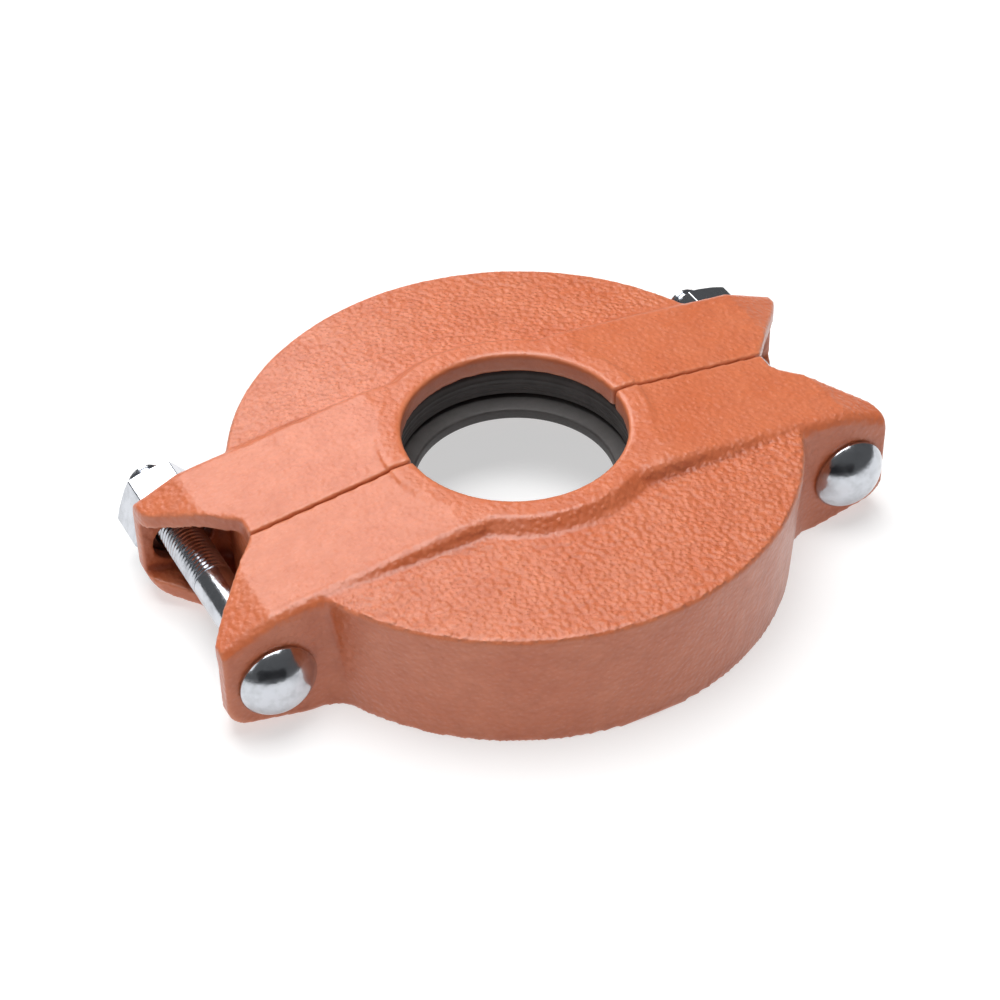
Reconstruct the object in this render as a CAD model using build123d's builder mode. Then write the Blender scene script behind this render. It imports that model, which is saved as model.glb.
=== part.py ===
from build123d import *
import math
import os

# Grooved reducing coupling, 6 in to 3 in pipe. Millimetres.
# The pipe axis is Z, with the small pipe on top. The origin is on that axis in the
# bottom face, which rests on the floor. The two halves part along the XZ plane, X runs
# to the bolt ears and Y along the bolts, from their heads to their nuts.

# Pipe grooves that the keys sit in
small_key_radius = 42.7
large_key_radius = 82.3
key_width = 8.0
key_chamfer = 1.0

# Ring
height = 60.0
lip_radius = 52.0
step_radius = 57.5
step_height = 54.8
rim_radius = 109.0
rim_height = 52.0
rim_foot_radius = 106.0
rim_round = 1.5
seam_gap = 1.2

# Raised bands along the seam, which run out into the bolt ears
band_slope = 0.12
ear_break = 119.0
ear_slope = 0.42
lip_shift = 20.0
seam_end = 108.5
underside_start = 108.0
underside_slope = 0.22
band_round = 5.0
ear_corner = 10.0
blend_wall_radius = rim_foot_radius
blend_start = 86.0

# Each casting has one plain ear, and one stepped ear that is shorter and has a deeper pad
plain_pad = 44.5
plain_end = 139.5
plain_blend = 12.0
stepped_pad = 48.0
stepped_end = 137.0
stepped_blend = 18.0
seam_step = 8.4
pad_edge = 7.0
pad_wall = 6.5
floor_wall = 6.5
roof_wall = 7.0
pocket_start = 100.0

# Room inside for the gasket
room_radius = 97.0
room_corner = 4.0
room_roof_outer = 44.0
room_roof_inner = 46.5
lip_room_radius = 57.0

# Gasket
gasket_clearance = 0.35
small_lip_radius = 44.0
large_lip_radius = 83.8
lip_thickness = 3.4
lip_length = 13.0
back_thickness = 5.2
web_thickness = 6.0
stop_radius = 38.5
stop_foot = 31.0

# Bolts and nuts
bolt_x = 120.0
bolt_z = 22.5
bolt_radius = 7.94
bolt_length = 125.0
bolt_point = 1.5
head_radius = 15.0
head_rim = 1.5
head_height = 10.0
neck_width = 16.4
neck_length = 22.5
neck_depth = 6.0
slot_width = 17.6
slot_length = 24.0
nut_across_flats = 30.0
nut_height = 20.0
nut_bore_radius = 8.0
nut_chamfer_angle = 30.0
nut_left_turn = -10.0
nut_right_turn = 12.0

os.makedirs("parts", exist_ok=True)


def band_top(x):
    """Height of the sloping top of the bands and ears at a distance x from the axis."""
    drop = band_slope * max(min(abs(x), ear_break) - small_key_radius, 0)
    return height - drop - ear_slope * max(abs(x) - ear_break, 0)


def underside(x):
    """Height of the sloping underside of the ears."""
    return underside_slope * max(abs(x) - underside_start, 0)


def finish_piece(piece, name):
    """Names a finished piece and writes it to its own file."""
    piece.label = name
    export_step(piece, f"parts/{name}.step")


# Space taken by the pipes and the gasket, as one turned shape
with BuildPart() as room:
    with BuildSketch(Plane.XZ) as room_section:
        with BuildLine():
            Polyline(
                (0, -1),
                (large_key_radius + key_chamfer + 1, -1),
                (large_key_radius, key_chamfer),
                (large_key_radius, key_width),
                (room_radius, key_width),
                (room_radius, room_roof_outer - room_corner),
                (room_radius - room_corner, room_roof_outer),
                (lip_room_radius + 1, room_roof_inner),
                (lip_room_radius, height - key_chamfer - key_width),
                (small_key_radius, height - key_chamfer - key_width),
                (small_key_radius, height - key_chamfer),
                (small_key_radius + key_chamfer + 1, height + 1),
                (0, height + 1),
                close=True,
            )
        make_face()
    revolve(axis=Axis.Z)

# Outline of the bands and ears seen from above, for the half on the -Y side
with BuildSketch() as band_plan:
    with BuildLine():
        Polyline(
            (-seam_end, 0),
            (seam_end, 0),
            (seam_end, -seam_step),
            (stepped_end - 5, -seam_step - 24),
        )
        ThreePointArc(
            (stepped_end - 5, -seam_step - 24),
            (stepped_end - 1.4, -seam_step - 28),
            (stepped_end, -stepped_pad + pad_edge),
        )
        Polyline(
            (stepped_end, -stepped_pad + pad_edge),
            (stepped_end, -stepped_pad),
            (lip_shift, -stepped_pad),
            (-lip_shift, -plain_pad),
            (-plain_end, -plain_pad),
            (-plain_end, -plain_pad + pad_edge),
        )
        ThreePointArc((-plain_end, -plain_pad + pad_edge), (-135.5, -31.5), (-129, -23.5))
        Line((-129, -23.5), (-seam_end, 0))
    make_face()

# Outline of the ears where they run into the round wall of the rim
with BuildSketch() as blend_plan:
    Circle(blend_wall_radius)
    add(band_plan.sketch)
    plain_corner = blend_plan.vertices().sort_by_distance((-blend_start, -plain_pad))[0]
    fillet(plain_corner, radius=plain_blend)
    stepped_corner = blend_plan.vertices().sort_by_distance((blend_start, -stepped_pad))[0]
    fillet(stepped_corner, radius=stepped_blend)

# Bands and ears: their outline from the front, cut to their outline from above
with BuildPart() as bands:
    with BuildSketch(Plane.XZ) as band_front:
        with BuildLine():
            Polyline(
                (-underside_start, 0),
                (underside_start, 0),
                (stepped_end, underside(stepped_end)),
                (stepped_end, band_top(stepped_end)),
                (ear_break, band_top(ear_break)),
                (small_key_radius, height),
                (-small_key_radius, height),
                (-ear_break, band_top(ear_break)),
                (-plain_end, band_top(plain_end)),
                (-plain_end, underside(plain_end)),
                close=True,
            )
        make_face()
        low_corners = band_front.vertices().filter_by(lambda v: 0.1 < v.Y < bolt_z)
        fillet(low_corners, radius=ear_corner)
    extrude(amount=2 * stepped_pad, both=True)
    extrude(band_plan.sketch, amount=height + 1, mode=Mode.INTERSECT)
    outer_edges = bands.edges().filter_by(lambda e: e.center().Y < 0.1 - plain_pad and e.length > 10)
    outer_edges = outer_edges.filter_by(lambda e: e.bounding_box().size.Y < 0.1)
    fillet(outer_edges.filter_by(lambda e: e.center().Z > band_top(plain_end)), radius=band_round)

with BuildPart() as blends:
    with BuildSketch(Plane.XZ):
        for side in (1, -1):
            with BuildLine():
                Polyline(
                    (side * blend_start, 0),
                    (side * underside_start, 0),
                    (side * bolt_x, underside(bolt_x)),
                    (side * bolt_x, band_top(bolt_x) - band_round),
                    (side * blend_start, rim_height - rim_round),
                    close=True,
                )
            make_face()
    extrude(amount=2 * stepped_pad, both=True)
    extrude(blend_plan.sketch, amount=height, mode=Mode.INTERSECT)

# Hollow behind each pad, open at the seam and at the ear's end
with BuildPart() as pockets:
    with BuildSketch(Plane.XZ):
        for side in (1, -1):
            with BuildLine():
                Polyline(
                    (side * pocket_start, floor_wall),
                    (side * underside_start, floor_wall),
                    (side * (plain_end + 5), floor_wall + underside(plain_end + 5)),
                    (side * (plain_end + 5), band_top(plain_end + 5) - roof_wall),
                    (side * ear_break, band_top(ear_break) - roof_wall),
                    (side * pocket_start, band_top(pocket_start) - roof_wall),
                    close=True,
                )
            make_face()
    extrude(amount=2 * stepped_pad, both=True)
    with BuildSketch():
        with Locations((-pocket_start, 0)):
            Rectangle(60, plain_pad - pad_wall, align=(Align.MAX, Align.MAX))
        with Locations((pocket_start, 0)):
            Rectangle(60, stepped_pad - pad_wall, align=(Align.MIN, Align.MAX))
    extrude(amount=height, mode=Mode.INTERSECT)
    Cylinder(rim_radius, height, align=(Align.CENTER, Align.CENTER, Align.MIN), mode=Mode.SUBTRACT)
    fillet(pockets.edges().filter_by(Axis.Z).filter_by(lambda e: e.center().Y < -30), radius=4)

# One casting: ring, bands and ears, less the room, the pockets and the bolt slots
with BuildPart() as casting:
    with BuildSketch(Plane.XZ):
        with BuildLine():
            Polyline(
                (0, 0),
                (rim_foot_radius, 0),
                (rim_radius, rim_height),
                (step_radius, step_height),
                (lip_radius, height),
                (0, height),
                close=True,
            )
        make_face()
    revolve(axis=Axis.Z)
    rim_edges = casting.edges().filter_by(GeomType.CIRCLE).filter_by(
        lambda e: e.radius > rim_radius - 0.1
    )
    fillet(rim_edges, radius=rim_round)
    add(bands.part)
    add(blends.part)
    add(room.part, mode=Mode.SUBTRACT)
    add(pockets.part, mode=Mode.SUBTRACT)
    with BuildSketch(Plane.XZ):
        with Locations((-bolt_x, bolt_z), (bolt_x, bolt_z)):
            SlotOverall(slot_length, slot_width)
    extrude(amount=2 * stepped_pad, mode=Mode.SUBTRACT)
    split(bisect_by=Plane.XZ.offset(seam_gap / 2), keep=Keep.TOP)

with BuildPart() as head_side_housing:
    add(casting.part)
finish_piece(head_side_housing.part, "head_side_housing")

# The other half is the same casting, turned half a turn about the pipe
with BuildPart() as nut_side_housing:
    add(casting.part.rotate(Axis.Z, 180))
finish_piece(nut_side_housing.part, "nut_side_housing")

# Reducing gasket: a back that fills the room, a sealing lip on each pipe, and a stop
with BuildPart() as gasket:
    back = room_radius - gasket_clearance
    roof_outer = room_roof_outer - gasket_clearance
    roof_inner = room_roof_inner - gasket_clearance
    lip_top = height - key_chamfer - key_width - gasket_clearance
    lip_back = lip_room_radius - gasket_clearance
    foot = key_width + gasket_clearance
    web_foot = roof_outer - web_thickness
    with BuildSketch(Plane.XZ):
        with BuildLine():
            Polyline(
                (small_lip_radius + 2, lip_top),
                (lip_back, lip_top),
                (lip_back + 1, roof_inner),
                (back - room_corner, roof_outer),
                (back, roof_outer - room_corner),
                (back, foot),
                (large_lip_radius + 4, foot),
                (large_lip_radius + 1.2, foot + 3),
                (large_lip_radius, foot + lip_length),
                (large_lip_radius + 1.6, foot + lip_length + 1.2),
                (large_lip_radius + 1.2 + lip_thickness, foot + 5),
                (back - back_thickness, foot + 5),
                (back - back_thickness, web_foot - 4),
                (back - back_thickness - 4, web_foot),
                (stop_radius + 8, stop_foot),
                (stop_radius, stop_foot),
                (stop_radius, stop_foot + 4.5),
                (lip_back - back_thickness, stop_foot + 7.5),
                (lip_back - back_thickness, lip_top - 5),
                (small_lip_radius + 1.2 + lip_thickness, lip_top - 5),
                (small_lip_radius + 1.6, lip_top - lip_length + 1),
                (small_lip_radius, lip_top - lip_length + 1.8),
                (small_lip_radius + 0.6, lip_top - 2),
                close=True,
            )
        make_face()
    revolve(axis=Axis.Z)
finish_piece(gasket.part, "gasket")


def bolt_plane(x, y):
    """Plane across a bolt's axis: its own Z points along the bolt, from head to nut."""
    return Plane(origin=(x, y, bolt_z), x_dir=(1, 0, 0), z_dir=(0, 1, 0))


def make_bolt(x, seat_y, name):
    """Button-headed track bolt whose head sits on a pad at seat_y."""
    with BuildPart() as bolt:
        with BuildSketch(bolt_plane(x, seat_y)):
            Circle(head_radius)
        extrude(amount=-head_rim)
        dome_depth = head_height - head_rim
        ball_radius = (head_radius**2 + dome_depth**2) / (2 * dome_depth)
        with BuildSketch(Plane(origin=(x, seat_y - head_rim, bolt_z), z_dir=(0, 0, 1))):
            with BuildLine():
                Line((0, 0), (head_radius, 0))
                RadiusArc((head_radius, 0), (0, -dome_depth), ball_radius)
                Line((0, -dome_depth), (0, 0))
            make_face()
        revolve(axis=Axis(origin=(x, 0, bolt_z), direction=(0, 1, 0)))
        with BuildSketch(bolt_plane(x, seat_y)):
            SlotOverall(neck_length, neck_width)
        extrude(amount=neck_depth)
        with BuildSketch(bolt_plane(x, seat_y)):
            Circle(bolt_radius)
        extrude(amount=bolt_length)
        chamfer(bolt.edges().sort_by(Axis.Y)[-1], length=bolt_point)
    finish_piece(bolt.part, name)
    return bolt


def make_nut(x, seat_y, turn, name):
    """Hexagon nut on a pad at seat_y, with its corners turned down at both faces."""
    corner_radius = nut_across_flats / math.sqrt(3)
    with BuildPart() as nut:
        with BuildSketch(bolt_plane(x, seat_y)):
            RegularPolygon(corner_radius, 6, rotation=turn)
        extrude(amount=nut_height)
        cone_drop = (corner_radius - nut_across_flats / 2) * math.tan(math.radians(nut_chamfer_angle))
        axis = Axis(origin=(x, 0, bolt_z), direction=(0, 1, 0))
        with BuildSketch(Plane(origin=(x, seat_y, bolt_z), z_dir=(0, 0, 1))):
            with BuildLine():
                Polyline(
                    (0, 0),
                    (nut_across_flats / 2, 0),
                    (corner_radius, cone_drop),
                    (corner_radius, nut_height - cone_drop),
                    (nut_across_flats / 2, nut_height),
                    (0, nut_height),
                    close=True,
                )
            make_face()
        revolve(axis=axis, mode=Mode.INTERSECT)
        with BuildSketch(bolt_plane(x, seat_y)):
            Circle(nut_bore_radius)
        extrude(amount=nut_height, mode=Mode.SUBTRACT)
    finish_piece(nut.part, name)
    return nut


bolt_left = make_bolt(-bolt_x, -plain_pad, "bolt_left")
bolt_right = make_bolt(bolt_x, -stepped_pad, "bolt_right")
nut_left = make_nut(-bolt_x, stepped_pad, nut_left_turn, "nut_left")
nut_right = make_nut(bolt_x, plain_pad, nut_right_turn, "nut_right")
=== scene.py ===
import math

import bpy
import numpy as np
from bpy.props import FloatProperty, FloatVectorProperty, IntProperty, PointerProperty
from mathutils import Matrix, Vector


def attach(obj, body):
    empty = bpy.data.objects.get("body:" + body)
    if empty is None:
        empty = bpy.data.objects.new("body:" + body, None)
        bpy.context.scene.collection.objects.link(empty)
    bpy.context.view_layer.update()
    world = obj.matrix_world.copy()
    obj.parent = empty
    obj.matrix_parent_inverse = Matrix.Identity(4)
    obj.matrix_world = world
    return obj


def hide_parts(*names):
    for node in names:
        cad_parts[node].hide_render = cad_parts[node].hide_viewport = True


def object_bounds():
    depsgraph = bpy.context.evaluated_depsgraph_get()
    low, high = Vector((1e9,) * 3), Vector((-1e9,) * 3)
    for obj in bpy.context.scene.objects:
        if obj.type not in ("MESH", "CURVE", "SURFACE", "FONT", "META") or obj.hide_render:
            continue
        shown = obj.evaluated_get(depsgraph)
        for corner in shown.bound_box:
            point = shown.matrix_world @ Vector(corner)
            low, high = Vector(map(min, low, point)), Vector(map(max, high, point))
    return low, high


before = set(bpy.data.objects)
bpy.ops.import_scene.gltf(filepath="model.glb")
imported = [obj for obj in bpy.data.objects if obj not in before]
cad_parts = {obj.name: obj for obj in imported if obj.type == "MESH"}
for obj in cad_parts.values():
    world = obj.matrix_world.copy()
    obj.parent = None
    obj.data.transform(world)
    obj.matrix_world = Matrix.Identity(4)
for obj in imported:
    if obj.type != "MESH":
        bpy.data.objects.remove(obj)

bl_info = {
    "name": "Grooved Reducing Coupling",
    "version": (1, 0, 0),
    "blender": (4, 5, 0),
    "location": "View3D > Sidebar > Coupling",
    "description": "Cast housings, gasket, track bolts and nuts of a grooved reducing pipe coupling",
    "category": "Object",
}

CAD_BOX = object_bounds()
MM = 0.001
LEFT, RIGHT = -1, 1

MERGE_DISTANCE = 0.002 * MM
CUT_TOLERANCE = 0.001 * MM
GASKET_STEPS = 160
HEAD_STEPS = 72
CONE_STEPS = 96
MOUTH_STEPS = 60
WAVE_SIZE = 16 * MM
DISPLACE_MIDDLE = 0.7
SHADE_ANGLE = 32
MOUTH_RADIUS = 9.1
NUT_BORE_RADIUS = 7.4
TIP_BEVEL = 1.6 * MM
LENS_LENGTH = 96.2
SENSOR_WIDTH = 36.0
LENS_SHIFT = (-0.0147, -0.0759)
FLOOR_GLOW = 0.56
WORLD_STRENGTH = 0.12


# ---------------------------------------------------------------- settings


class CastingSettings(bpy.types.PropertyGroup):
    """Sizes and colours of the two cast housings."""

    voxel: FloatProperty(
        name="Mesh Size",
        description="Edge length of the casting's mesh",
        default=1.04 * MM,
        unit="LENGTH",
    )
    edge_passes: IntProperty(
        name="Edge Softening",
        description="Passes that round the casting's edges, as a sand mould leaves them",
        default=2,
    )
    fillet_passes: IntProperty(
        name="Fillet Softening",
        description="Passes that fill the inner corners between bands, lip and face",
        default=4,
    )
    grain_depth: FloatProperty(
        name="Grain Depth",
        description="Height of the sand grain on the rough faces",
        default=0.34 * MM,
        unit="LENGTH",
    )
    grain_size: FloatProperty(
        name="Grain Size",
        description="Width of one bump of the sand grain",
        default=2.0 * MM,
        unit="LENGTH",
    )
    wave_depth: FloatProperty(
        name="Waviness",
        description="Height of the slow waves that the pattern leaves in every face",
        default=0.35 * MM,
        unit="LENGTH",
    )
    paint: FloatVectorProperty(
        name="Paint",
        description="Colour of the orange enamel",
        subtype="COLOR",
        default=(0.57, 0.135, 0.046),
    )
    # This colour serves both real thin paint, in slow random patches, and painted highlight: the
    # material lightens sharp edges and the grain's tops towards it.
    thin_paint_and_highlight: FloatVectorProperty(
        name="Thin Paint and Highlight",
        description="Colour of the enamel where it is thin, along edges and on grain tops",
        subtype="COLOR",
        default=(0.72, 0.25, 0.125),
    )
    # This colour serves both real thick paint, in random streaks, and painted shade: the material
    # darkens the inner corners and, in part, the grain's pits towards it.
    thick_paint_and_shade: FloatVectorProperty(
        name="Thick Paint and Shade",
        description="Colour of the enamel where it gathers in pits and inner corners",
        subtype="COLOR",
        default=(0.32, 0.060, 0.020),
    )


class GasketSettings(bpy.types.PropertyGroup):
    """Sizes and colour of the rubber gasket."""

    back_radius: FloatProperty(
        name="Back Radius",
        description="Outer radius of the gasket's back",
        default=96.65 * MM,
        unit="LENGTH",
    )
    stop_radius: FloatProperty(
        name="Stop Radius",
        description="Inner radius of the stop between the two pipes",
        default=38.5 * MM,
        unit="LENGTH",
    )
    small_lip_radius: FloatProperty(
        name="Small Lip Radius",
        description="Radius of the sealing lip on the small pipe",
        default=44.0 * MM,
        unit="LENGTH",
    )
    large_lip_radius: FloatProperty(
        name="Large Lip Radius",
        description="Radius of the sealing lip on the large pipe",
        default=83.8 * MM,
        unit="LENGTH",
    )
    rubber: FloatVectorProperty(
        name="Rubber",
        description="Colour of the rubber",
        subtype="COLOR",
        default=(0.048, 0.044, 0.043),
    )


class FastenerSettings(bpy.types.PropertyGroup):
    """Sizes and finish of the track bolts and their nuts."""

    bolt_x: FloatProperty(
        name="Bolt Distance",
        description="Distance of each bolt from the pipe axis",
        default=120.0 * MM,
        unit="LENGTH",
    )
    bolt_z: FloatProperty(
        name="Bolt Height",
        description="Height of each bolt above the bottom face",
        default=22.5 * MM,
        unit="LENGTH",
    )
    plain_pad: FloatProperty(
        name="Plain Pad",
        description="Distance from the seam to the pad of a plain ear",
        default=44.5 * MM,
        unit="LENGTH",
    )
    stepped_pad: FloatProperty(
        name="Stepped Pad",
        description="Distance from the seam to the pad of a stepped ear",
        default=48.0 * MM,
        unit="LENGTH",
    )
    bolt_length: FloatProperty(
        name="Bolt Length",
        description="Length of a bolt under its head",
        default=125.0 * MM,
        unit="LENGTH",
    )
    plain_shank: FloatProperty(
        name="Plain Shank",
        description="Length of bolt without thread, under the head",
        default=57.5 * MM,
        unit="LENGTH",
    )
    crest: FloatProperty(
        name="Thread Crest",
        description="Radius over the bolt's thread",
        default=7.93 * MM,
        unit="LENGTH",
    )
    root: FloatProperty(
        name="Thread Root",
        description="Radius at the bottom of the bolt's thread",
        default=6.80 * MM,
        unit="LENGTH",
    )
    pitch: FloatProperty(
        name="Pitch",
        description="Distance from one thread to the next",
        default=2.0 * MM,
        unit="LENGTH",
    )
    head_radius: FloatProperty(
        name="Head Radius",
        description="Radius of the button head",
        default=14.95 * MM,
        unit="LENGTH",
    )
    head_height: FloatProperty(
        name="Head Height",
        description="Height of the button head",
        default=9.95 * MM,
        unit="LENGTH",
    )
    nut_flats: FloatProperty(
        name="Nut Across Flats",
        description="Width of the nut from flat to flat",
        default=30.0 * MM,
        unit="LENGTH",
    )
    nut_height: FloatProperty(
        name="Nut Height",
        description="Height of the nut",
        default=20.0 * MM,
        unit="LENGTH",
    )
    left_turn: FloatProperty(
        name="Left Nut Turn",
        description="Angle of the left nut's first corner",
        default=math.radians(-10),
        subtype="ANGLE",
    )
    right_turn: FloatProperty(
        name="Right Nut Turn",
        description="Angle of the right nut's first corner",
        default=math.radians(12),
        subtype="ANGLE",
    )
    zinc: FloatVectorProperty(
        name="Zinc",
        description="Colour of the zinc plating",
        subtype="COLOR",
        default=(0.58, 0.60, 0.64),
    )


class StageSettings(bpy.types.PropertyGroup):
    """Floor, light and camera."""

    azimuth: FloatProperty(
        name="Camera Azimuth",
        description="Direction the camera looks from, round the pipe axis",
        default=math.radians(-27.67),
        subtype="ANGLE",
    )
    elevation: FloatProperty(
        name="Camera Elevation",
        description="Height of the camera above the horizon",
        default=math.radians(39.54),
        subtype="ANGLE",
    )
    roll: FloatProperty(
        name="Camera Roll",
        description="Turn of the camera about its own view",
        default=math.radians(-0.78),
        subtype="ANGLE",
    )
    distance: FloatProperty(
        name="Camera Distance",
        description="Distance from the camera to the middle of the coupling's top",
        default=1.0,
        unit="LENGTH",
    )
    floor: FloatVectorProperty(
        name="Floor",
        description="Colour of the floor",
        subtype="COLOR",
        default=(0.47, 0.47, 0.47),
    )


# ---------------------------------------------------------------- modelling helpers


def only(*objects):
    """Selects these objects and no others, and makes the first one active."""
    bpy.ops.object.select_all(action="DESELECT")
    for item in objects:
        item.select_set(True)
    bpy.context.view_layer.objects.active = objects[0]


def edit(piece, keep=None):
    """Enters edit mode with the vertices selected for which keep(position) holds."""
    only(piece)
    mesh = piece.data
    mesh.polygons.foreach_set("select", [False] * len(mesh.polygons))
    mesh.edges.foreach_set("select", [False] * len(mesh.edges))
    chosen = [keep is None or bool(keep(vertex.co)) for vertex in mesh.vertices]
    mesh.vertices.foreach_set("select", chosen)
    bpy.ops.object.mode_set(mode="EDIT")
    bpy.ops.mesh.select_mode(type="VERT")


def leave_edit():
    """Goes back to object mode."""
    bpy.ops.object.mode_set(mode="OBJECT")


def modify(piece, kind, **values):
    """Adds a modifier, sets it and applies it."""
    only(piece)
    modifier = piece.modifiers.new(kind.title(), kind)
    for name, value in values.items():
        setattr(modifier, name, value)
    bpy.ops.object.modifier_apply(modifier=modifier.name)


def tidy_mesh(piece):
    """Merges doubled vertices and turns every face outwards."""
    edit(piece)
    bpy.ops.mesh.remove_doubles(threshold=MERGE_DISTANCE)
    bpy.ops.mesh.select_all(action="SELECT")
    bpy.ops.mesh.normals_make_consistent(inside=False)
    leave_edit()


def section(name, points, closed):
    """A line of edges through points of the XY plane, for turning or cutting a thread."""
    bpy.ops.object.select_all(action="DESELECT")
    bpy.ops.mesh.primitive_circle_add(vertices=len(points), radius=10 * MM, fill_type="NOTHING")
    line = bpy.context.object
    line.name = line.data.name = name
    for vertex, (x, y) in zip(line.data.vertices, points):
        vertex.co = (x * MM, y * MM, 0)
    if not closed:
        last = {0, len(points) - 1}
        edit(line)
        bpy.ops.mesh.select_mode(type="EDGE")
        bpy.ops.mesh.select_all(action="DESELECT")
        leave_edit()
        for edge in line.data.edges:
            edge.select = set(edge.vertices) == last
        bpy.ops.object.mode_set(mode="EDIT")
        bpy.ops.mesh.delete(type="EDGE")
        leave_edit()
    return line


def round_corners(line, radius, keep=None):
    """Rounds the corners of a section line."""
    edit(line, keep)
    bpy.ops.mesh.bevel(offset=radius, segments=3, affect="VERTICES", profile=0.5)
    leave_edit()


def turn(line, axis, steps):
    """Turns a section line round an axis through the origin."""
    edit(line)
    bpy.ops.mesh.spin(steps=steps, angle=math.tau, center=(0, 0, 0), axis=axis)
    leave_edit()
    tidy_mesh(line)


def union(piece, *others, operation="UNION"):
    """Joins or cuts a piece with others, which are then deleted."""
    for other in others:
        modify(piece, "BOOLEAN", operation=operation, object=other, solver="EXACT")
        bpy.data.objects.remove(other)


def smooth_by_angle(piece, degrees):
    """Shades faces smooth where they meet at less than this angle."""
    only(piece)
    bpy.ops.object.shade_smooth_by_angle(angle=math.radians(degrees))


def moved_copy(piece, name, matrix):
    """A copy of a piece with its own mesh, moved in its vertices."""
    mesh = piece.data.copy()
    mesh.transform(matrix)
    twin = bpy.data.objects.new(name, mesh)
    mesh.name = name
    bpy.context.collection.objects.link(twin)
    return twin


def place(piece, body, slot, *nodes):
    """Rides a finished piece on its body, in place of its CAD nodes."""
    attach(piece, body)
    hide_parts(*nodes)


# ---------------------------------------------------------------- material helpers


class Recipe:
    """A node material under construction."""

    def __init__(self, name):
        self.material = bpy.data.materials.new(name)
        self.material.use_nodes = True
        self.tree = self.material.node_tree
        self.shader = self.tree.nodes["Principled BSDF"]
        self.place = self.add("ShaderNodeTexCoord").outputs["Object"]

    def add(self, kind, **values):
        """Adds a node; values name its properties."""
        node = self.tree.nodes.new(kind)
        for name, value in values.items():
            setattr(node, name, value)
        return node

    def feed(self, node, **values):
        """Sets or links a node's inputs, named with underscores for spaces."""
        for name, value in values.items():
            socket = node.inputs[name.replace("_", " ")]
            if isinstance(value, bpy.types.NodeSocket):
                self.tree.links.new(value, socket)
            else:
                socket.default_value = value
        return node

    def noise(self, size, detail=3.0, rough=0.55):
        """Noise whose bumps are about size metres across."""
        node = self.add("ShaderNodeTexNoise")
        self.feed(node, Vector=self.place, Scale=1 / size, Detail=detail, Roughness=rough)
        return node.outputs["Fac"]

    def cells(self, size):
        """Softened distance to the nearest of many points about size metres apart."""
        node = self.add("ShaderNodeTexVoronoi", feature="SMOOTH_F1")
        self.feed(node, Vector=self.place, Scale=1 / size)
        return node.outputs["Distance"]

    def attribute(self, name):
        """A number stored on the mesh's vertices."""
        return self.add("ShaderNodeAttribute", attribute_name=name).outputs["Fac"]

    def fit(self, value, low, high, to_low=0.0, to_high=1.0):
        """Maps a value from one range to another, clamped."""
        node = self.add("ShaderNodeMapRange")
        self.feed(node, Value=value, From_Min=low, From_Max=high, To_Min=to_low, To_Max=to_high)
        return node.outputs["Result"]

    def math(self, operation, a, b):
        """One sum on two values."""
        node = self.add("ShaderNodeMath", operation=operation)
        for socket, value in zip(node.inputs, (a, b)):
            if isinstance(value, bpy.types.NodeSocket):
                self.tree.links.new(value, socket)
            else:
                socket.default_value = value
        return node.outputs["Value"]

    def blend(self, factor, a, b):
        """Mixes two colours."""
        node = self.add("ShaderNodeMix", data_type="RGBA")
        sockets = [node.inputs[0], node.inputs[6], node.inputs[7]]
        for socket, value in zip(sockets, (factor, a, b)):
            if isinstance(value, bpy.types.NodeSocket):
                self.tree.links.new(value, socket)
            else:
                socket.default_value = value
        return node.outputs[2]

    def bump(self, height, distance, strength=1.0, below=None):
        """A bump whose full height is distance metres."""
        node = self.add("ShaderNodeBump")
        self.feed(node, Height=height, Distance=distance, Strength=strength)
        if below is not None:
            self.feed(node, Normal=below)
        return node.outputs["Normal"]

    def dress(self, piece):
        """Gives the piece this material and no other."""
        piece.data.materials.clear()
        piece.data.materials.append(self.material)


def rgba(colour):
    """A colour with full alpha."""
    return (*colour, 1.0)


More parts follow.
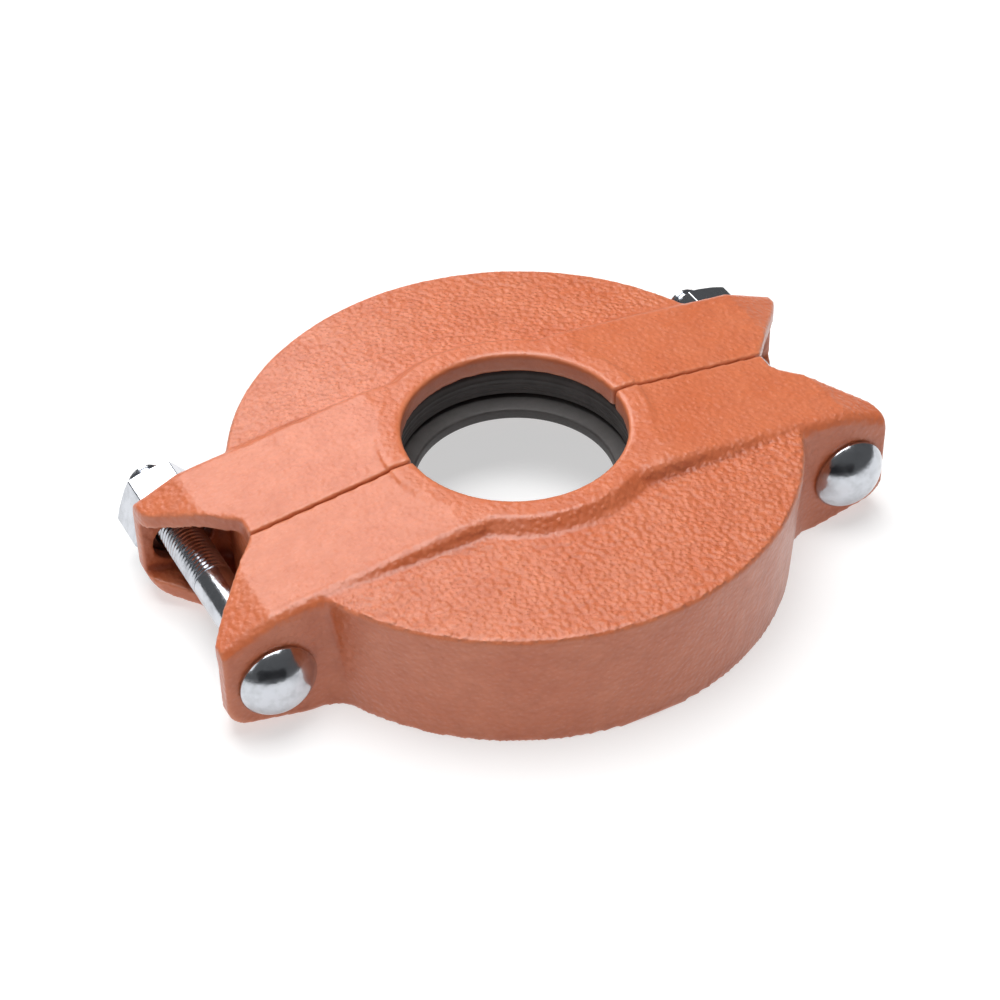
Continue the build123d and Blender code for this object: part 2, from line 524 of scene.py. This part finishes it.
def enamel(settings):
    """Orange enamel on sand-cast iron, with painted highlight on sharp edges and grain tops and
    painted shade in inner corners and, in part, in the grain's pits.
    """
    paint = Recipe("orange_enamel")
    rough_cast = paint.attribute("rough_cast")
    edge = paint.attribute("edge")
    hollow_shade = paint.attribute("hollow_shade")
    pebble = paint.fit(paint.cells(2.0 * MM), 0.10, 0.70, 1.0, 0.0)
    speck = paint.noise(0.55 * MM, detail=2.0, rough=0.6)
    pits = paint.fit(paint.noise(1.9 * MM, detail=3.0, rough=0.6), 0.30, 0.58)
    patch = paint.noise(26 * MM, detail=4.0)
    streak = paint.noise(7 * MM, detail=3.0)

    patchy = paint.fit(patch, 0.35, 0.68, 0.0, 0.30)
    colour = paint.blend(patchy, rgba(settings.paint), rgba(settings.thin_paint_and_highlight))
    tone = paint.fit(streak, 0.3, 0.7, 0.0, 0.22)
    colour = paint.blend(tone, colour, rgba(settings.thick_paint_and_shade))
    # Partly painted shade, partly darker paint: the grain's pits, the low points of the bump below,
    # are darkened towards the thick-paint colour.
    pit_paint_and_shade = paint.math("MULTIPLY", paint.fit(pits, 0.0, 1.0, 0.32, 0.0), rough_cast)
    colour = paint.blend(pit_paint_and_shade, colour, rgba(settings.thick_paint_and_shade))
    # Painted highlight: the tops of the grain, the high points of the bump below, are lightened
    # towards the thin-paint colour.
    grain_top_highlight = paint.math("MULTIPLY", paint.fit(pebble, 0.45, 0.95, 0.0, 0.28), rough_cast)
    colour = paint.blend(grain_top_highlight, colour, rgba(settings.thin_paint_and_highlight))
    # Painted highlight: sharp convex edges are lightened towards the thin-paint colour.
    colour = paint.blend(paint.math("MULTIPLY", edge, 0.45), colour, rgba(settings.thin_paint_and_highlight))
    # Painted shade: inner corners are darkened towards the thick-paint colour.
    colour = paint.blend(paint.math("MULTIPLY", hollow_shade, 0.60), colour, rgba(settings.thick_paint_and_shade))

    gloss = paint.fit(streak, 0.25, 0.75, 0.34, 0.46)
    gloss = paint.math("ADD", gloss, paint.math("MULTIPLY", rough_cast, 0.05))
    strength = paint.fit(rough_cast, 0.0, 1.0, 0.12, 1.0)
    deep = paint.math("MULTIPLY", pits, strength)
    fine = paint.math("MULTIPLY", pebble, strength)
    normal = paint.bump(deep, 0.16 * MM, 0.8)
    normal = paint.bump(fine, 0.62 * MM, 1.0, below=normal)
    normal = paint.bump(speck, 0.05 * MM, 0.6, below=normal)
    paint.feed(paint.shader, Base_Color=colour, Roughness=gloss, Normal=normal)
    paint.feed(paint.shader, Coat_Weight=0.35, Coat_Roughness=0.24)
    return paint


def moulded_rubber(settings):
    """Black moulded rubber, a little dusty."""
    rubber = Recipe("moulded_rubber")
    dust = rubber.noise(9 * MM, detail=5.0, rough=0.62)
    fine = rubber.noise(0.4 * MM, detail=2.0)
    colour = rubber.blend(
        rubber.fit(dust, 0.42, 0.75, 0.0, 0.5), rgba(settings.rubber), (0.105, 0.098, 0.095, 1)
    )
    rubber.feed(
        rubber.shader,
        Base_Color=colour,
        Roughness=rubber.fit(dust, 0.3, 0.7, 0.42, 0.62),
        Normal=rubber.bump(fine, 0.03 * MM, 0.5),
    )
    return rubber


def zinc_plate(settings):
    """Bright zinc plating on rolled and forged steel."""
    zinc = Recipe("zinc_plating")
    cloud = zinc.noise(5 * MM, detail=4.0)
    fine = zinc.noise(0.5 * MM, detail=3.0)
    dents = zinc.noise(3.2 * MM, detail=2.0)
    dull = tuple(0.62 * channel for channel in settings.zinc)
    colour = zinc.blend(zinc.fit(cloud, 0.42, 0.75, 0.0, 0.6), rgba(settings.zinc), rgba(dull))
    normal = zinc.bump(dents, 0.16 * MM, 0.5)
    normal = zinc.bump(fine, 0.012 * MM, 0.6, below=normal)
    zinc.feed(
        zinc.shader,
        Base_Color=colour,
        Roughness=zinc.fit(cloud, 0.3, 0.75, 0.10, 0.26),
        Normal=normal,
    )
    zinc.feed(zinc.shader, Metallic=1.0)
    return zinc


# ---------------------------------------------------------------- casting


def mesh_arrays(mesh):
    """Vertex positions, vertex normals and edge ends as arrays."""
    points = np.empty(len(mesh.vertices) * 3, np.float32)
    normals = np.empty(len(mesh.vertices) * 3, np.float32)
    ends = np.empty(len(mesh.edges) * 2, np.int32)
    mesh.vertices.foreach_get("co", points)
    mesh.vertices.foreach_get("normal", normals)
    mesh.edges.foreach_get("vertices", ends)
    return points.reshape(-1, 3), normals.reshape(-1, 3), ends.reshape(-1, 2)


def neighbour_mean(values, ends, count):
    """Mean of each vertex's neighbours."""
    total = np.zeros((len(values),) + values.shape[1:], np.float64)
    np.add.at(total, ends[:, 0], values[ends[:, 1]])
    np.add.at(total, ends[:, 1], values[ends[:, 0]])
    return total / count.reshape((-1,) + (1,) * (values.ndim - 1))


def bend(mesh, passes):
    """How sharply the surface bends at each vertex: above 0 on edges, below 0 in corners."""
    points, normals, ends = mesh_arrays(mesh)
    count = np.maximum(np.bincount(ends.ravel(), minlength=len(points)), 1)
    bent = ((points - neighbour_mean(points, ends, count)) * normals).sum(1)
    for _ in range(passes):
        bent = neighbour_mean(bent, ends, count)
    return bent


def store(mesh, name, values):
    """Stores one number for each vertex under a name that the material reads."""
    layer = mesh.attributes.new(name, "FLOAT", "POINT")
    layer.data.foreach_set("value", np.clip(values, 0, 1).astype(np.float32))


def group(piece, name, weights):
    """A vertex group with these weights."""
    members = piece.vertex_groups.new(name=name)
    for step in range(1, 11):
        near = np.nonzero(np.round(weights * 10) == step)[0]
        if len(near):
            members.add(near.tolist(), step / 10, "REPLACE")
    return members.name


def smooth_step(value, low, high):
    """Rises from 0 to 1 between low and high."""
    part = np.clip((value - low) / (high - low), 0, 1)
    return part * part * (3 - 2 * part)


def flip_near(points, turned):
    """Positions as they are in the casting's own frame, before it is turned to its side."""
    return points * np.array((-1, -1, 1)) if turned else points


def clouds(name, size, depth):
    """A cloud pattern for displacing a surface."""
    pattern = bpy.data.textures.new(name, "CLOUDS")
    pattern.noise_scale = size
    pattern.noise_depth = depth
    return pattern


def raw_casting(settings):
    """The bare casting: the CAD half on an even mesh, with its corners softened."""
    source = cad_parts["head_side_housing"]
    casting = moved_copy(source, "raw_casting", source.matrix_world)
    edit(casting)
    bpy.ops.mesh.remove_doubles(threshold=MERGE_DISTANCE)
    leave_edit()
    modify(casting, "REMESH", mode="VOXEL", voxel_size=settings.voxel, use_smooth_shade=True)
    bent = bend(casting.data, 3)
    points = mesh_arrays(casting.data)[0]
    on_top = smooth_step(points[:, 2], 0.030, 0.042)
    away = smooth_step(np.hypot(points[:, 0], points[:, 1]), 0.0475, 0.050)
    inner = smooth_step(-bent, 0.012 * MM, 0.06 * MM) * on_top * away
    name = group(casting, "inner_corners", inner)
    modify(casting, "SMOOTH", factor=0.5, iterations=settings.fillet_passes, vertex_group=name)
    modify(casting, "SMOOTH", factor=0.5, iterations=settings.edge_passes)
    casting.vertex_groups.clear()
    return casting


def grain_map(points, normals):
    """How rough each part of the casting is: the ring's face most, the key faces least."""
    radius = np.hypot(points[:, 0], points[:, 1])
    facing_up = smooth_step(normals[:, 2], 0.5, 0.9)
    off_band = smooth_step(-points[:, 1], 0.0455, 0.0485)
    ring_face = facing_up * off_band * smooth_step(radius, 0.058, 0.061)
    rim = smooth_step(radius, 0.103, 0.105) * (1 - facing_up)
    rough = 0.42 + 0.58 * ring_face - 0.12 * rim
    keys = 1 - smooth_step(radius, 0.0436, 0.0450)
    seam = 1 - smooth_step(-points[:, 1], 0.0009, 0.0025)
    return rough * (1 - 0.8 * keys) * (1 - 0.5 * seam)


def finish_casting(casting, settings, turned):
    """Adds the sand grain and slow waves of one casting, and what its paint follows."""
    points, normals, _ = mesh_arrays(casting.data)
    facing = flip_near(normals, turned)
    rough = grain_map(flip_near(points, turned), facing)
    radius = np.hypot(points[:, 0], points[:, 1])
    clear_of_keys = smooth_step(radius, 0.0432, 0.0455)
    seam_distance = np.abs(points[:, 1])
    clear_of_seam = smooth_step(seam_distance, 0.0008, 0.003)
    clear_of_foot = smooth_step(points[:, 2], 0.001, 0.004)
    clear = clear_of_keys * clear_of_seam * clear_of_foot
    grain = clouds("sand_grain", settings.grain_size, 1)
    waves = clouds("pattern_waves", WAVE_SIZE, 1)
    rough_name = group(casting, "rough", rough * clear)
    wave_name = group(casting, "wavy", clear)
    modify(
        casting,
        "DISPLACE",
        texture=waves,
        strength=settings.wave_depth,
        mid_level=DISPLACE_MIDDLE,
        vertex_group=wave_name,
    )
    modify(
        casting,
        "DISPLACE",
        texture=grain,
        strength=settings.grain_depth,
        mid_level=DISPLACE_MIDDLE,
        vertex_group=rough_name,
    )
    casting.vertex_groups.clear()
    points = np.clip(mesh_arrays(casting.data)[0], CAD_BOX[0], CAD_BOX[1])
    casting.data.vertices.foreach_set("co", points.ravel())
    bent = bend(casting.data, 2)
    store(casting.data, "rough_cast", rough)
    # This mask marks sharp convex edges, where the material paints a highlight.
    store(casting.data, "edge", smooth_step(bent, 0.035 * MM, 0.11 * MM))
    # This mask marks inner corners, where the material paints shade.
    store(casting.data, "hollow_shade", smooth_step(-bent, 0.015 * MM, 0.07 * MM))
    only(casting)
    bpy.ops.object.shade_smooth()


class OBJECT_OT_coupling_housings(bpy.types.Operator):
    """Makes the two cast halves of the coupling"""

    bl_idname = "object.coupling_housings"
    bl_label = "Housings"

    def execute(self, context):
        settings = context.scene.coupling_casting
        paint = enamel(settings)
        raw = raw_casting(settings)
        half_turn = Matrix.Rotation(math.pi, 4, "Z")
        sides = (
            ("head_side_casting", "head_side", "head_side_housing", Matrix(), False),
            ("nut_side_casting", "nut_side", "nut_side_housing", half_turn, True),
        )
        for name, body, node, matrix, turned in sides:
            casting = moved_copy(raw, name, matrix)
            finish_casting(casting, settings, turned)
            paint.dress(casting)
            place(casting, body, "orange_paint", node)
        bpy.data.objects.remove(raw)
        return {"FINISHED"}


# ---------------------------------------------------------------- gasket


def gasket_section(settings):
    """Radius and height of the gasket's section, in millimetres."""
    back = settings.back_radius / MM
    stop = settings.stop_radius / MM
    small = settings.small_lip_radius / MM
    large = settings.large_lip_radius / MM
    line = [
        (small + 2, 50.65),
        (56.65, 50.65),
        (57.6, 46.15),
        (back - 4, 43.65),
        (back, 39.65),
    ]
    for height in (34.0, 28.0, 22.0, 16.0):
        line += [(back, height + 0.8), (back - 0.5, height), (back, height - 0.8)]
    line += [
        (back, 8.35),
        (large + 4, 8.35),
        (large + 1.2, 11.35),
    ]
    for rib in (14.0, 16.4, 18.8):
        line += [(large + 0.55, rib - 0.8), (large + 0.1, rib), (large + 0.5, rib + 0.8)]
    line += [
        (large, 21.35),
        (large + 1.6, 22.55),
        (large + 4.6, 13.35),
        (back - 5.2, 13.35),
        (back - 5.2, 33.65),
        (back - 9.2, 37.65),
        (stop + 8, 31),
        (stop + 0.3, 31),
        (stop, 31.6),
        (stop, 35.0),
        (stop + 0.5, 35.6),
        (51.45, 38.5),
        (51.45, 45.65),
        (small + 4.6, 45.65),
        (small + 1.6, 38.65),
        (small, 39.45),
    ]
    for rib in (41.6, 43.8, 46.0):
        line += [(small + 0.35, rib - 0.7), (small + 0.05, rib), (small + 0.4, rib + 0.7)]
    return line + [(small + 0.6, 48.65)]


class OBJECT_OT_coupling_gasket(bpy.types.Operator):
    """Makes the rubber reducing gasket"""

    bl_idname = "object.coupling_gasket"
    bl_label = "Gasket"

    def execute(self, context):
        settings = context.scene.coupling_gasket
        gasket = section("rubber_gasket", gasket_section(settings), closed=True)
        round_corners(gasket, 0.35 * MM)
        gasket.data.transform(Matrix.Rotation(math.pi / 2, 4, "X"))
        turn(gasket, (0, 0, 1), GASKET_STEPS)
        smooth_by_angle(gasket, 50)
        moulded_rubber(settings).dress(gasket)
        place(gasket, "head_side", "black_rubber", "gasket")
        return {"FINISHED"}


# ---------------------------------------------------------------- bolts and nuts


def threaded_rod(name, settings, crest, root, start, end, turns, steps=40):
    """A rod on the Y axis with a right-hand thread, cut flat at start and end."""
    pitch = settings.pitch / MM
    crest_flat, flank = 0.25, 0.64
    root_flat = pitch - crest_flat - 2 * flank
    first = start / MM - pitch
    ridge = [
        (root / MM, first),
        (root / MM, first + root_flat),
        (crest / MM, first + root_flat + flank),
        (crest / MM, first + root_flat + flank + crest_flat),
        (root / MM, first + pitch),
    ]
    rod = section(name, ridge, closed=False)
    modify(
        rod,
        "SCREW",
        axis="Y",
        angle=math.tau,
        screw_offset=settings.pitch,
        iterations=turns + 3,
        steps=steps,
        render_steps=steps,
        use_merge_vertices=True,
        merge_threshold=MERGE_DISTANCE,
    )
    tidy_mesh(rod)
    for cut, side in ((start, -1), (end, 1)):
        edit(rod)
        bpy.ops.mesh.bisect(
            plane_co=(0, cut, 0),
            plane_no=(0, side, 0),
            use_fill=True,
            clear_outer=True,
            threshold=CUT_TOLERANCE,
        )
        leave_edit()
    tidy_mesh(rod)
    return rod


def shape_tip(rod, end, bevel, crest):
    """Tapers the thread's last turns, as on a rolled bolt."""
    for vertex in rod.data.vertices:
        reach = end - vertex.co.y
        allowed = crest - bevel + reach * 0.85
        radius = math.hypot(vertex.co.x, vertex.co.z)
        if reach < bevel * 1.3 and radius > allowed > 0:
            vertex.co.x *= allowed / radius
            vertex.co.z *= allowed / radius


def button_head(settings):
    """The domed head and the plain shank, turned, with the head's seat at Y 0."""
    radius, height = settings.head_radius / MM, settings.head_height / MM
    rim = 1.5
    dome = height - rim
    ball = (radius**2 + dome**2) / (2 * dome)
    half_angle = math.asin(radius / ball)
    shank = settings.crest / MM - 0.05
    stop = settings.plain_shank / MM + 1.0
    line = []
    for step in range(15):
        angle = half_angle * step / 14
        line.append((ball * math.sin(angle), -height + ball * (1 - math.cos(angle))))
    line += [
        (radius, -rim * 0.35),
        (radius - 0.35, 0.0),
        (shank + 0.4, 0.0),
        (shank, 0.5),
        (shank, stop - 1.6),
        (shank - 0.9, stop - 0.6),
        (shank - 1.6, stop),
        (0, stop),
    ]
    head = section("bolt_head", line, closed=False)
    round_corners(head, 0.3 * MM, lambda co: co.x > radius * MM * 0.9)
    turn(head, (0, 1, 0), HEAD_STEPS)
    return head


def oval_neck():
    """The oval neck that keeps a track bolt from turning in its slot."""
    length, width, depth = 22.5, 16.4, 6.0
    bpy.ops.object.select_all(action="DESELECT")
    bpy.ops.mesh.primitive_cylinder_add(
        vertices=64, radius=width / 2 * MM, depth=(depth + 1) * MM, rotation=(math.pi / 2, 0, 0)
    )
    neck = bpy.context.object
    bpy.ops.object.transform_apply(location=True, rotation=True, scale=True)
    half = (length - width) / 2 * MM
    for vertex in neck.data.vertices:
        vertex.co.y += (depth - 1) / 2 * MM
        vertex.co.x += math.copysign(half, vertex.co.x) if abs(vertex.co.x) > 0.01 * MM else 0
    modify(neck, "BEVEL", width=0.7 * MM, segments=3, limit_method="ANGLE")
    return neck


def bolt_model(settings):
    """A whole track bolt with its seat at Y 0 and its axis on Y."""
    start, end = settings.plain_shank, settings.bolt_length
    turns = int((end - start) / settings.pitch)
    thread = threaded_rod("thread", settings, settings.crest, settings.root, start, end, turns)
    shape_tip(thread, end, TIP_BEVEL, settings.crest)
    bolt = button_head(settings)
    union(bolt, oval_neck(), thread)
    tidy_mesh(bolt)
    return bolt


def nut_model(settings, seat, turn_angle, thread_start):
    """A hexagon nut with its seat at Y 0, cut by the same thread as its bolt."""
    across, height = settings.nut_flats, settings.nut_height
    corner = across / math.sqrt(3)
    drop = (corner - across / 2) * math.tan(math.radians(30)) / MM
    bpy.ops.object.select_all(action="DESELECT")
    bpy.ops.mesh.primitive_cylinder_add(
        vertices=6, radius=corner, depth=height, rotation=(math.pi / 2, 0, 0)
    )
    nut = bpy.context.object
    bpy.ops.object.transform_apply(location=True, rotation=True, scale=True)
    first = max(nut.data.vertices, key=lambda v: v.co.x).co
    start_angle = math.atan2(-first.z, first.x)
    nut.data.transform(Matrix.Rotation(turn_angle - start_angle, 4, "Y"))
    nut.data.transform(Matrix.Translation((0, height / 2, 0)))
    modify(nut, "BEVEL", width=0.35 * MM, segments=2, limit_method="ANGLE")
    edge, wide = across / 2 / MM, corner / MM
    tall = height / MM
    cone = section(
        "nut_cones",
        [(0, 0), (edge - 0.2, 0), (wide, drop), (wide, tall - drop), (edge - 0.2, tall), (0, tall)],
        closed=False,
    )
    turn(cone, (0, 1, 0), CONE_STEPS)
    union(nut, cone, operation="INTERSECT")
    mouth_depth = 1.7
    mouth = section(
        "nut_mouths",
        [
            (0, -1),
            (MOUTH_RADIUS, -1),
            (MOUTH_RADIUS, 0),
            (NUT_BORE_RADIUS, mouth_depth),
            (NUT_BORE_RADIUS, tall - mouth_depth),
            (MOUTH_RADIUS, tall),
            (MOUTH_RADIUS, tall + 1),
            (0, tall + 1),
        ],
        closed=False,
    )
    turn(mouth, (0, 1, 0), MOUTH_STEPS)
    before = math.ceil((seat - thread_start) / settings.pitch)
    phase = thread_start + (before - 1) * settings.pitch - seat
    turns = round(height / settings.pitch) + 3
    crest = settings.crest + 0.06 * MM
    root = settings.root + 0.12 * MM
    tap = threaded_rod("tap", settings, crest, root, phase, height + 1 * MM, turns)
    union(nut, mouth, tap, operation="DIFFERENCE")
    tidy_mesh(nut)
    return nut


class OBJECT_OT_coupling_bolts(bpy.types.Operator):
    """Makes the two track bolts"""

    bl_idname = "object.coupling_bolts"
    bl_label = "Bolts"

    def execute(self, context):
        settings = context.scene.coupling_fasteners
        zinc = zinc_plate(settings)
        model = bolt_model(settings)
        pads = {LEFT: settings.plain_pad, RIGHT: settings.stepped_pad}
        for side, name in ((LEFT, "bolt_left"), (RIGHT, "bolt_right")):
            seat = Vector((side * settings.bolt_x, -pads[side], settings.bolt_z))
            bolt = moved_copy(model, f"track_{name}", Matrix.Translation(seat))
            smooth_by_angle(bolt, SHADE_ANGLE)
            zinc.dress(bolt)
            place(bolt, "head_side", "zinc_plate", name)
        bpy.data.objects.remove(model)
        return {"FINISHED"}


class OBJECT_OT_coupling_nuts(bpy.types.Operator):
    """Makes the two hexagon nuts"""

    bl_idname = "object.coupling_nuts"
    bl_label = "Nuts"

    def execute(self, context):
        settings = context.scene.coupling_fasteners
        zinc = zinc_plate(settings)
        plain, stepped = settings.plain_pad, settings.stepped_pad
        rows = (
            (LEFT, "nut_left", "left_nut", plain, stepped, settings.left_turn),
            (RIGHT, "nut_right", "right_nut", stepped, plain, settings.right_turn),
        )
        for side, name, body, head_pad, nut_pad, turn_angle in rows:
            thread_start = -head_pad + settings.plain_shank
            nut = nut_model(settings, nut_pad, turn_angle, thread_start)
            nut.name = nut.data.name = f"hexagon_{name}"
            seat = Vector((side * settings.bolt_x, nut_pad, settings.bolt_z))
            nut.data.transform(Matrix.Translation(seat))
            smooth_by_angle(nut, SHADE_ANGLE)
            zinc.dress(nut)
            place(nut, body, "zinc_plate", name)
        return {"FINISHED"}


# ---------------------------------------------------------------- stage


def softbox(name, place, target, size, power, colour=(1, 1, 1)):
    """A soft rectangular light at place, aimed at target."""
    lamp = bpy.data.lights.new(name, "AREA")
    lamp.shape = "RECTANGLE"
    lamp.size, lamp.size_y = size
    lamp.energy = power
    lamp.color = colour
    light = bpy.data.objects.new(name, lamp)
    bpy.context.collection.objects.link(light)
    light.location = place
    light.rotation_euler = (Vector(target) - Vector(place)).to_track_quat("-Z", "Y").to_euler()
    return light


def dark_card(name, place, target, size):
    """A black card that only reflections see."""
    bpy.ops.object.select_all(action="DESELECT")
    bpy.ops.mesh.primitive_plane_add(size=1)
    card = bpy.context.object
    card.name = card.data.name = name
    card.data.transform(Matrix.Diagonal((size[0], size[1], 1, 1)))
    card.location = place
    card.rotation_euler = (Vector(target) - Vector(place)).to_track_quat("-Z", "Y").to_euler()
    only(card)
    bpy.ops.object.transform_apply(location=True, rotation=True, scale=True)
    black = Recipe(f"{name}_black")
    black.feed(black.shader, Base_Color=(0.01, 0.01, 0.012, 1), Roughness=1.0)
    black.dress(card)
    card.visible_camera = False
    card.visible_diffuse = False
    card.visible_shadow = False
    card.visible_transmission = False
    return card


class OBJECT_OT_coupling_stage(bpy.types.Operator):
    """Makes the floor, the lights and the camera"""

    bl_idname = "object.coupling_stage"
    bl_label = "Stage"

    def execute(self, context):
        settings = context.scene.coupling_stage
        bpy.ops.object.select_all(action="DESELECT")
        bpy.ops.mesh.primitive_plane_add(size=12)
        ground = bpy.context.object
        ground.name = ground.data.name = "floor"
        surface = Recipe("pale_floor")
        mottle = surface.noise(0.4, detail=2.0)
        tone = surface.fit(mottle, 0.3, 0.7, 0.0, 0.04)
        colour = surface.blend(tone, rgba(settings.floor), (0.44, 0.44, 0.44, 1))
        surface.feed(surface.shader, Base_Color=colour, Roughness=0.75)
        surface.feed(surface.shader, Emission_Color=(1, 1, 1, 1), Emission_Strength=FLOOR_GLOW)
        surface.dress(ground)

        dark_card("front_card", (-0.35, -1.1, 0.42), (0, 0, 0.1), (1.5, 0.5))

        world = bpy.data.worlds.new("studio")
        world.use_nodes = True
        background = world.node_tree.nodes["Background"]
        background.inputs["Color"].default_value = (0.97, 0.985, 1.0, 1)
        background.inputs["Strength"].default_value = WORLD_STRENGTH
        context.scene.world = world

        target = (0, 0, 0.03)
        softbox("overhead", (0.0, 0.1, 1.5), target, (1.1, 1.1), 25)
        softbox("back", (0.0, 1.1, 0.95), target, (0.8, 0.7), 8)
        softbox("left", (-1.3, -0.1, 0.9), target, (0.7, 0.7), 2)

        lens = bpy.data.cameras.new("camera")
        lens.lens = LENS_LENGTH
        lens.sensor_width = SENSOR_WIDTH
        lens.shift_x, lens.shift_y = LENS_SHIFT
        camera = bpy.data.objects.new("camera", lens)
        bpy.context.collection.objects.link(camera)
        a, e = settings.azimuth, settings.elevation
        back = Vector((math.sin(a) * math.cos(e), -math.cos(a) * math.cos(e), math.sin(e)))
        middle = Vector((0, 0, 0.060))
        camera.location = middle + back * settings.distance
        aim = (-back).to_track_quat("-Z", "Y").to_matrix().to_4x4()
        turn_about_view = Matrix.Rotation(settings.roll, 4, "Z")
        camera.matrix_world = Matrix.Translation(camera.location) @ aim @ turn_about_view
        context.scene.camera = camera
        context.scene.view_settings.view_transform = "Standard"
        return {"FINISHED"}


# ---------------------------------------------------------------- panel and run


class VIEW3D_PT_coupling(bpy.types.Panel):
    """Buttons for every piece of the coupling"""

    bl_idname = "VIEW3D_PT_coupling"
    bl_label = "Grooved Reducing Coupling"
    bl_space_type = "VIEW_3D"
    bl_region_type = "UI"
    bl_category = "Coupling"

    def draw(self, context):
        column = self.layout.column()
        for operator in OPERATORS:
            column.operator(operator.bl_idname)


OPERATORS = (
    OBJECT_OT_coupling_housings,
    OBJECT_OT_coupling_gasket,
    OBJECT_OT_coupling_bolts,
    OBJECT_OT_coupling_nuts,
    OBJECT_OT_coupling_stage,
)
SETTINGS = (
    ("coupling_casting", CastingSettings),
    ("coupling_gasket", GasketSettings),
    ("coupling_fasteners", FastenerSettings),
    ("coupling_stage", StageSettings),
)


def register():
    """Adds the coupling's settings, operators and panel to Blender."""
    for name, kind in SETTINGS:
        bpy.utils.register_class(kind)
        setattr(bpy.types.Scene, name, PointerProperty(type=kind))
    for kind in (*OPERATORS, VIEW3D_PT_coupling):
        bpy.utils.register_class(kind)


def unregister():
    """Takes them out again."""
    for kind in (VIEW3D_PT_coupling, *reversed(OPERATORS)):
        bpy.utils.unregister_class(kind)
    for name, kind in reversed(SETTINGS):
        delattr(bpy.types.Scene, name)
        bpy.utils.unregister_class(kind)


def main():
    """Builds the whole scene."""
    register()
    bpy.ops.object.coupling_housings()
    bpy.ops.object.coupling_gasket()
    bpy.ops.object.coupling_bolts()
    bpy.ops.object.coupling_nuts()
    bpy.ops.object.coupling_stage()


if __name__ == "__main__":
    main()
